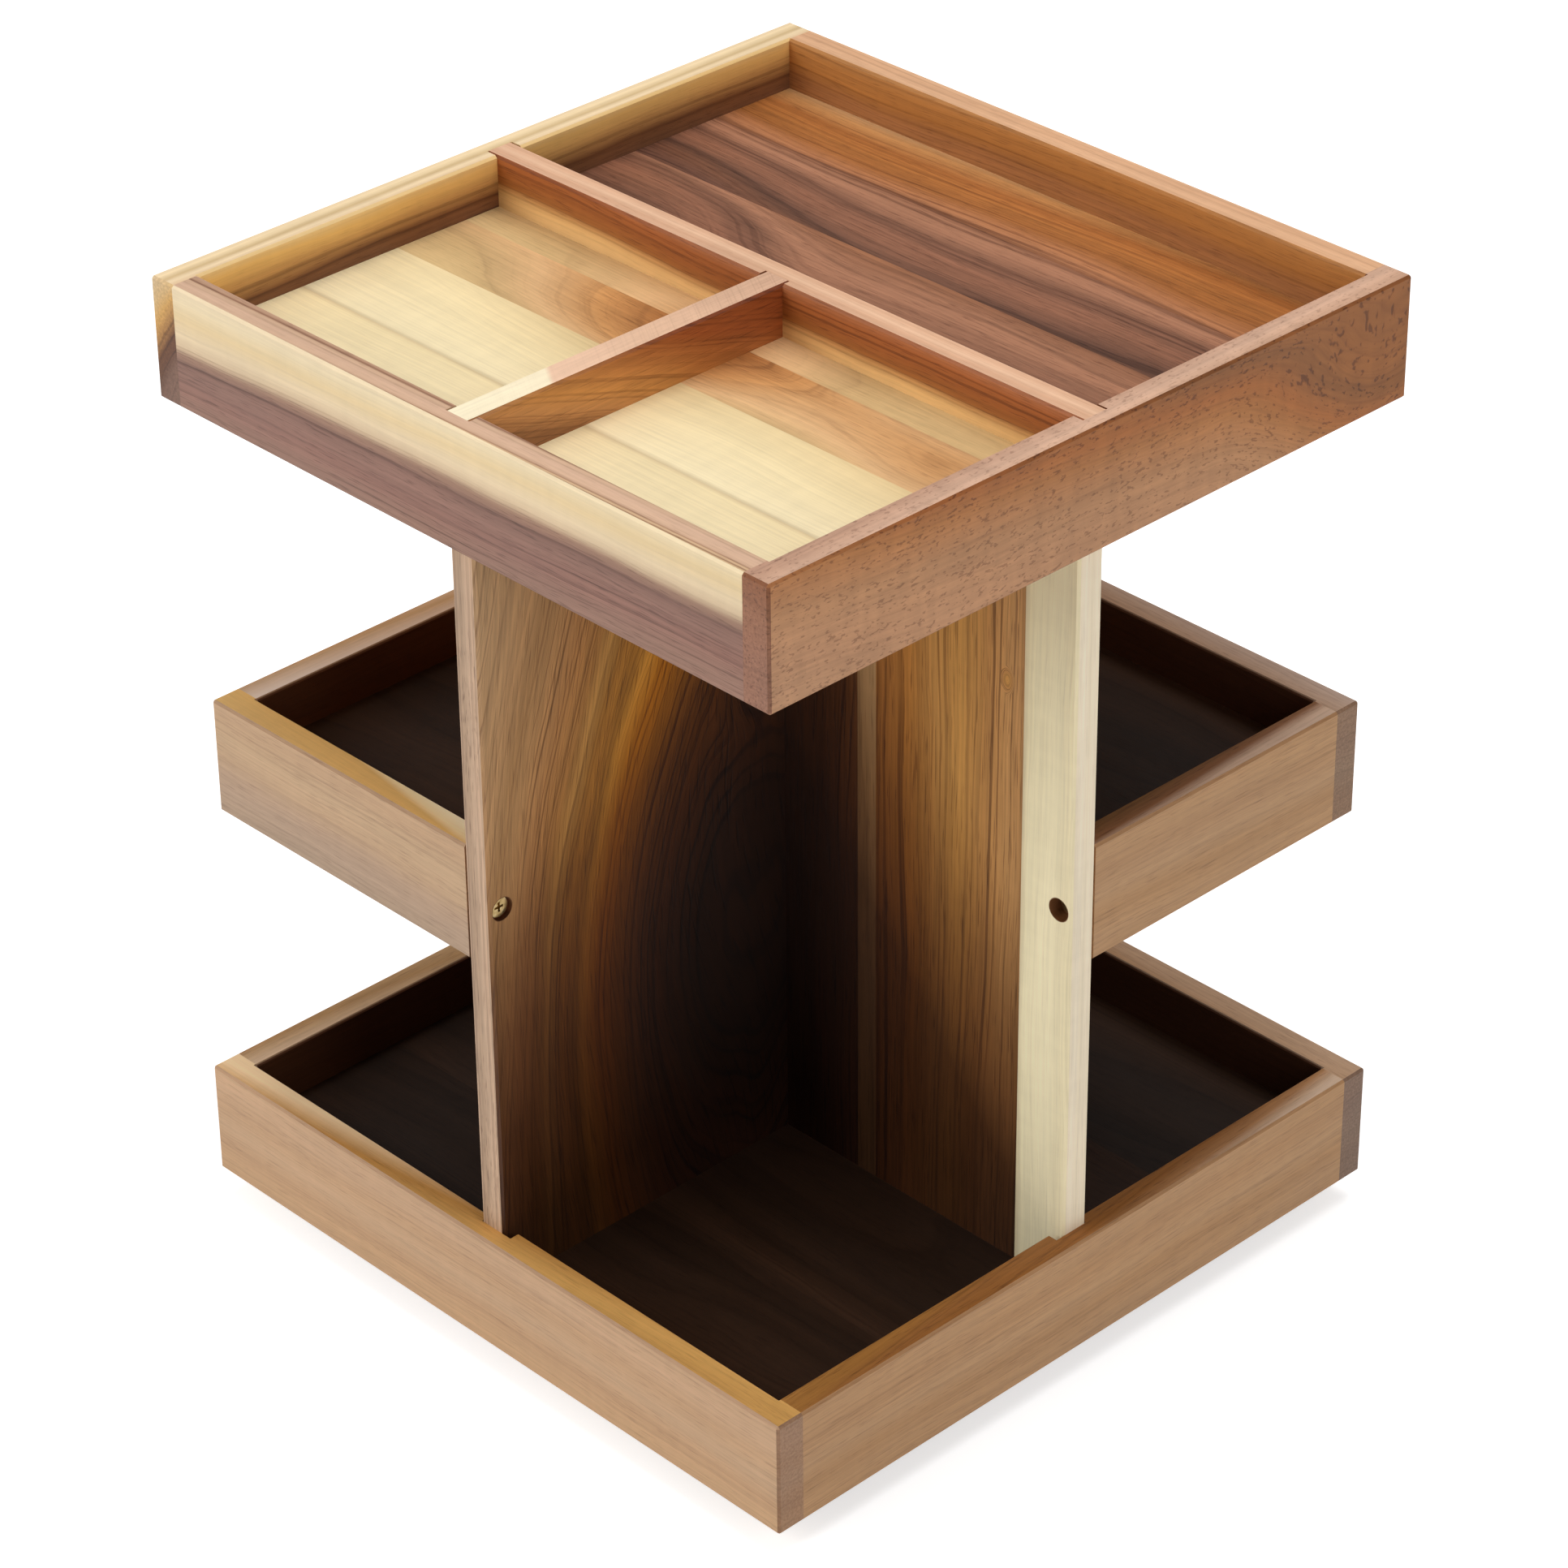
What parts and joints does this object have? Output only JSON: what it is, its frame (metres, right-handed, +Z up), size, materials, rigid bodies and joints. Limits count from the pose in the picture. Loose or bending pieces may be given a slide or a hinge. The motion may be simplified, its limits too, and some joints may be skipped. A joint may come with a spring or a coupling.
{
  "type": "cologne display stand",
  "caption": "Square wooden stand for fragrance bottles and accessories: crossed boards carry open trays at the bottom, middle and top, and it turns on a ball bearing base.",
  "frame": {"origin": "centre of the footprint, on the surface that the stand rests on, which is a point of the axis that it turns about", "axes": "+Z up along the axis of rotation, -Y towards the front wall, +X towards the right wall; the middle trays are in the front left and the back right quarters"},
  "size_m": [0.26, 0.26, 0.33],
  "materials": {
    "foot_rubber": "matt",
    "base_wood": "satin oiled",
    "bearing_steel": "zinc plated",
    "ball_steel": "polished",
    "screw_steel": "yellow zinc plated",
    "dowel_wood": "bare",
    "tray_wood": "satin oiled",
    "lower_floor_wood": "satin oiled, dark heartwood",
    "board_wood": "satin oiled",
    "top_floor_wood": "satin oiled",
    "top_tray_wood": "satin oiled",
    "divider_wood": "satin oiled"
  },
  "bodies": {
    "base": {"base_feet": "foot_rubber", "base_disc": "base_wood", "turntable_lower_plate": "bearing_steel", "turntable_lower_screws": "screw_steel"},
    "ball_ring": {"turntable_balls": "ball_steel"},
    "stand": {"turntable_upper_plate": "bearing_steel", "turntable_upper_screws": "screw_steel", "bottom_tray_floor": "lower_floor_wood", "bottom_tray_front_wall": "tray_wood", "bottom_tray_right_wall": "tray_wood", "bottom_tray_back_wall": "tray_wood", "bottom_tray_left_wall": "tray_wood", "bottom_tray_dowels": "dowel_wood", "cross_board_x": "board_wood", "cross_board_y": "board_wood", "cross_board_foot_screws": "screw_steel", "cross_board_head_screws": "screw_steel", "left_middle_tray_floor": "lower_floor_wood", "left_middle_tray_front_wall": "tray_wood", "left_middle_tray_left_wall": "tray_wood", "right_middle_tray_floor": "lower_floor_wood", "right_middle_tray_back_wall": "tray_wood", "right_middle_tray_right_wall": "tray_wood", "middle_tray_dowels": "dowel_wood", "middle_tray_screws": "screw_steel", "top_tray_floor": "top_floor_wood", "top_tray_front_wall": "top_tray_wood", "top_tray_right_wall": "top_tray_wood", "top_tray_back_wall": "top_tray_wood", "top_tray_left_wall": "top_tray_wood", "top_tray_dowels": "dowel_wood", "top_tray_long_divider": "divider_wood", "top_tray_short_divider": "divider_wood"}
  },
  "joints": [
    {"name": "stand_spin", "type": "hinge", "parent": "base", "child": "stand", "pos_m": [0, 0, 0], "axis": [0, 0, 1], "continuous": true},
    {"name": "ball_ring_spin", "type": "hinge", "parent": "base", "child": "ball_ring", "pos_m": [0, 0, 0], "axis": [0, 0, 1], "continuous": true}
  ],
  "couplings": [
    {"joint": "ball_ring_spin", "follows": "stand_spin", "ratio": 0.5}
  ]
}
